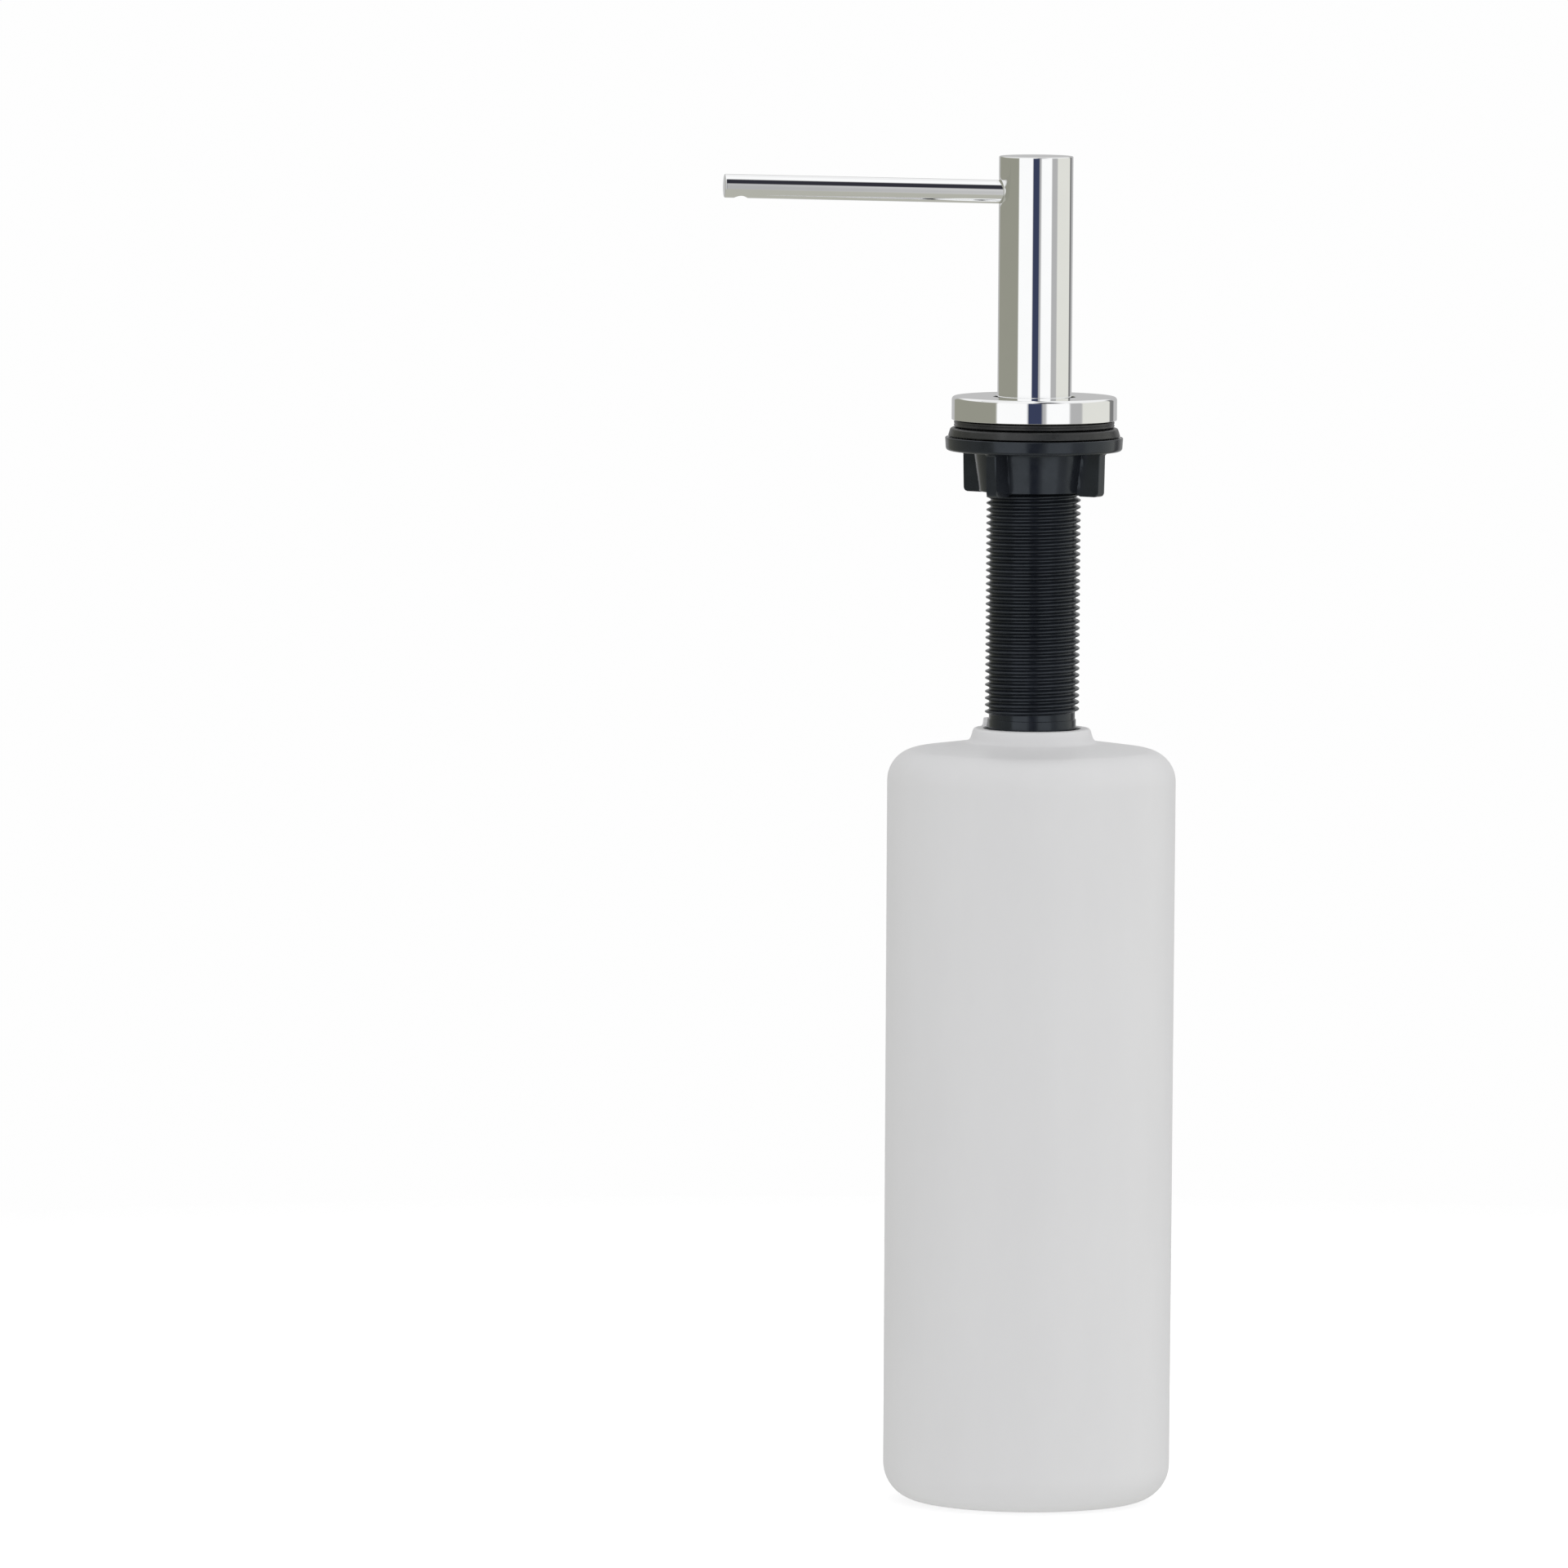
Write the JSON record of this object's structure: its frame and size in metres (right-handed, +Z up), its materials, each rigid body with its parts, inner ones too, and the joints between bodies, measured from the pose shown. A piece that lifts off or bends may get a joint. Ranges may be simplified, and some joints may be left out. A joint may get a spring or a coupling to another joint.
{
  "type": "soap pump dispenser",
  "caption": "Deck-mounted soap pump with a long-spout push head, round flange, threaded shank, wing nut and screw-on bottle.",
  "frame": {"origin": "centre of the deck hole, on the top surface of the deck that the flange's gasket sits on", "axes": "+Z up along the pump's axis, away from the deck; the spout points along -X"},
  "size_m": [0.1359, 0.0856, 0.4002],
  "materials": {
    "head_chrome": "polished",
    "spout_chrome": "polished",
    "flange_chrome": "polished",
    "gasket_rubber": "semi-matte",
    "washer_rubber": "semi-matte",
    "nut_plastic": "satin",
    "shank_plastic": "semi-gloss",
    "bottle_plastic": "frosted, slightly translucent",
    "seal_rubber": "semi-matte",
    "insert_plastic": "satin",
    "ball_steel": "polished",
    "piston_plastic": "satin",
    "spring_steel": "drawn wire",
    "collar_plastic": "satin",
    "pump_plastic": "satin, slightly translucent",
    "pump_rubber": "semi-matte",
    "tube_plastic": "translucent"
  },
  "bodies": {
    "mount": {"shank": "shank_plastic", "escutcheon": "flange_chrome", "deck_gasket": "gasket_rubber"},
    "clamp": {"clamp_washer": "washer_rubber"},
    "nut": {"wing_nut": "nut_plastic"},
    "neck_seal": {"bottle_seal": "seal_rubber"},
    "bottle": {"bottle": "bottle_plastic"},
    "pump": {"pump_housing": "pump_plastic", "pump_collar": "collar_plastic", "pump_gasket": "pump_rubber", "ball_cage": "pump_plastic", "dip_tube": "tube_plastic", "return_spring": "spring_steel"},
    "inlet_valve": {"inlet_ball": "ball_steel"},
    "piston": {"piston": "piston_plastic"},
    "head": {"head_body": "head_chrome", "spout": "spout_chrome", "spout_socket": "insert_plastic", "riser_tube": "insert_plastic", "stem_adapter": "insert_plastic", "stem": "insert_plastic"},
    "outlet_valve": {"outlet_ball": "ball_steel"}
  },
  "joints": [
    {"name": "clamp_slide", "type": "slide", "parent": "mount", "child": "clamp", "axis": [0, 0, 1], "range_m": [-0.066, 0]},
    {"name": "nut_spin", "type": "hinge", "parent": "clamp", "child": "nut", "pos_m": [0, 0, -0.0031], "axis": [0, 0, 1], "range_deg": [-11880, 0]},
    {"name": "bottle_slide", "type": "slide", "parent": "mount", "child": "neck_seal", "axis": [0, 0, 1], "range_m": [-0.012, 0]},
    {"name": "bottle_spin", "type": "hinge", "parent": "neck_seal", "child": "bottle", "pos_m": [0, 0, -0.0896], "axis": [0, 0, 1], "range_deg": [-2160, 0]},
    {"name": "pump_lift", "type": "slide", "parent": "mount", "child": "pump", "axis": [0, 0, 1], "range_m": [0, 0.32]},
    {"name": "inlet_lift", "type": "slide", "parent": "pump", "child": "inlet_valve", "axis": [0, 0, 1], "range_m": [0, 0.0028]},
    {"name": "head_press", "type": "slide", "parent": "pump", "child": "piston", "axis": [0, 0, 1], "range_m": [-0.015, 0], "stiffness_N_per_m": 530, "springref_m": 0.0075, "deforming": ["return_spring"]},
    {"name": "head_swivel", "type": "hinge", "parent": "piston", "child": "head", "pos_m": [0, 0, -0.0257], "axis": [0, 0, 1], "continuous": true},
    {"name": "outlet_lift", "type": "slide", "parent": "head", "child": "outlet_valve", "axis": [0, 0, 1], "range_m": [0, 0.0017]}
  ],
  "couplings": [
    {"joint": "nut_spin", "follows": "clamp_slide", "rad_per_m": 3141.6},
    {"joint": "bottle_spin", "follows": "bottle_slide", "rad_per_m": 3141.6}
  ]
}
